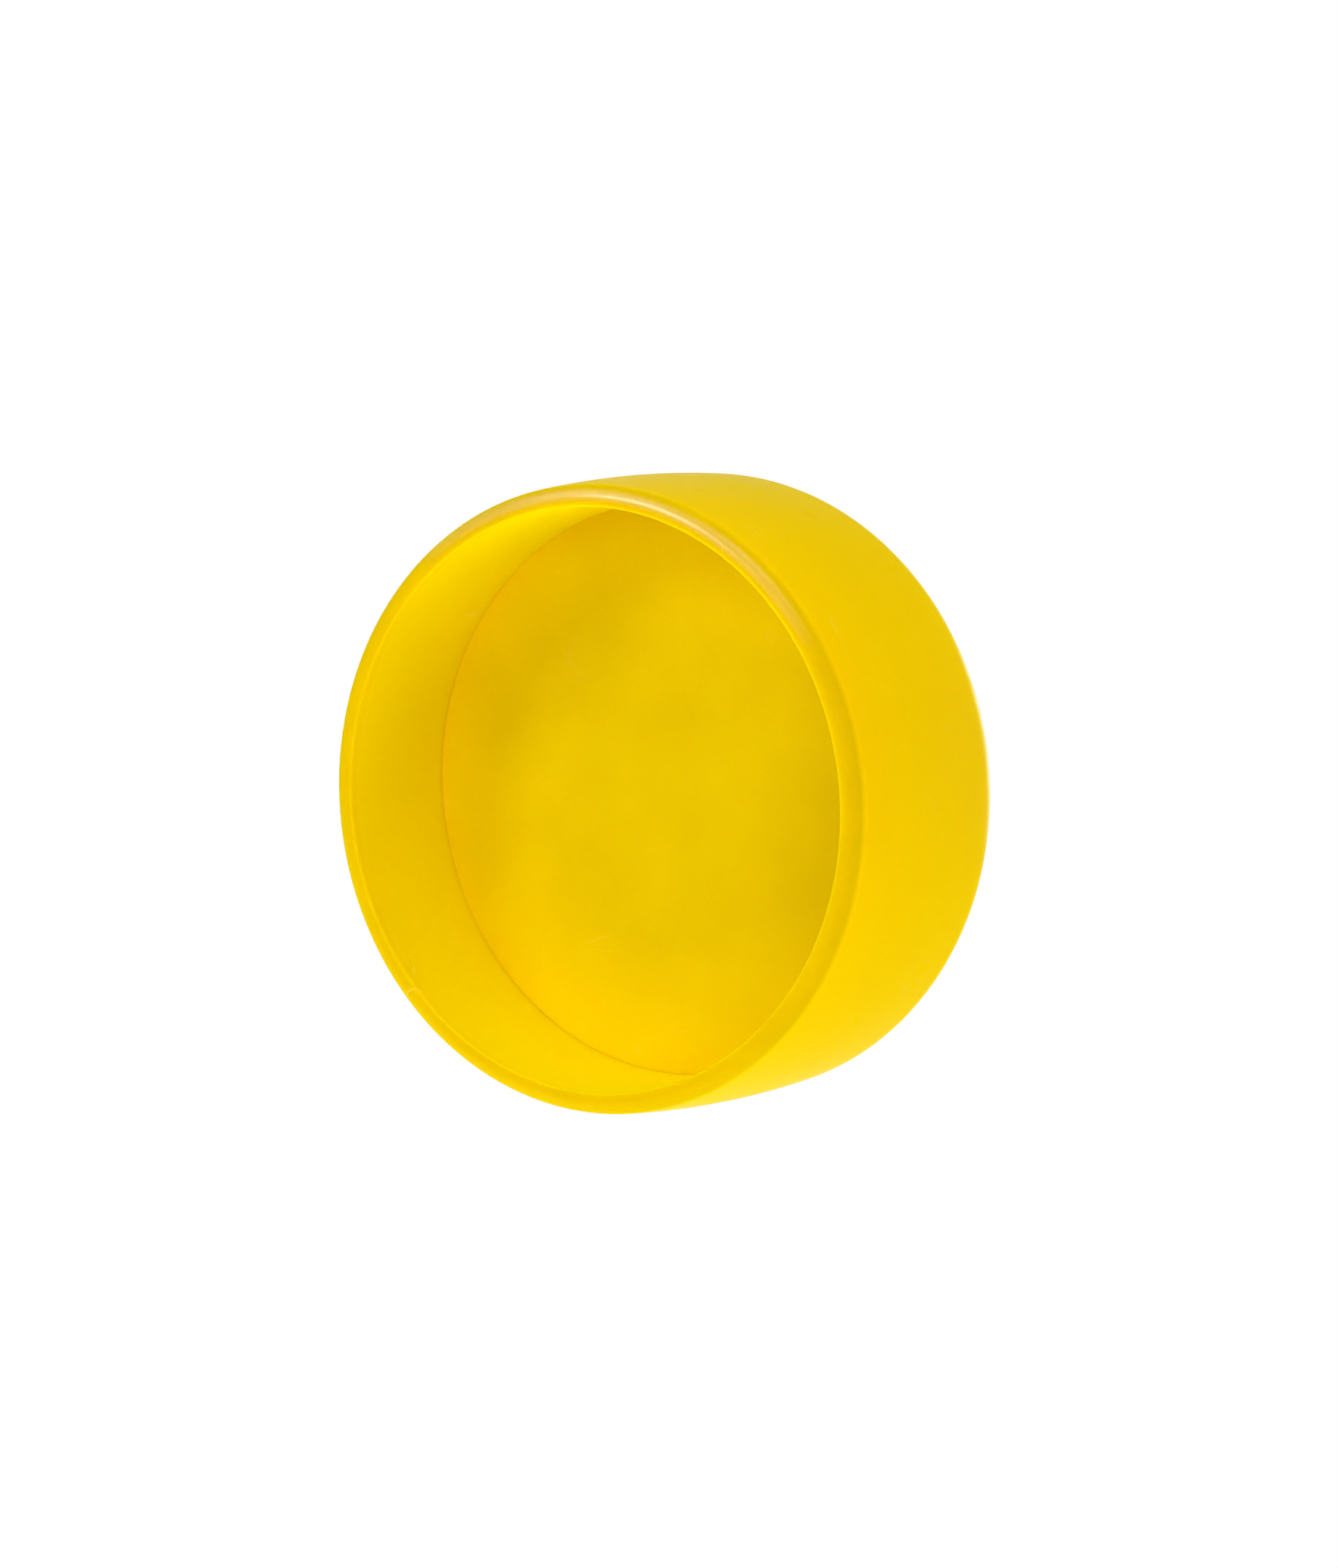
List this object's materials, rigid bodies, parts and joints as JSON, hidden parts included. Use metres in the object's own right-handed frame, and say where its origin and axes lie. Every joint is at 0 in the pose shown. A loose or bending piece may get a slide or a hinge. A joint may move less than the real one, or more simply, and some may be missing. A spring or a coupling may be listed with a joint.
{
  "type": "raised pavement marker",
  "caption": "Round raised pavement marker: glossy open-bottomed shell with a barrel skirt and low domed crown, and a cast backing keyed into its closed end.",
  "frame": {"origin": "centre of the open mouth, on the road plane that the rim stands on", "axes": "+Z along the marker's axis, from the road up to the crown; X and Y lie in the road plane, and the body is round, so their turn about Z is free"},
  "size_m": [0.1, 0.1, 0.045],
  "materials": {
    "shell_plastic": "glossy moulded translucent yellow plastic",
    "backing_resin": "smooth cast yellow resin, glossy on its open face"
  },
  "bodies": {
    "root": {"outer_shell": "shell_plastic", "cast_backing": "backing_resin"}
  },
  "joints": []
}
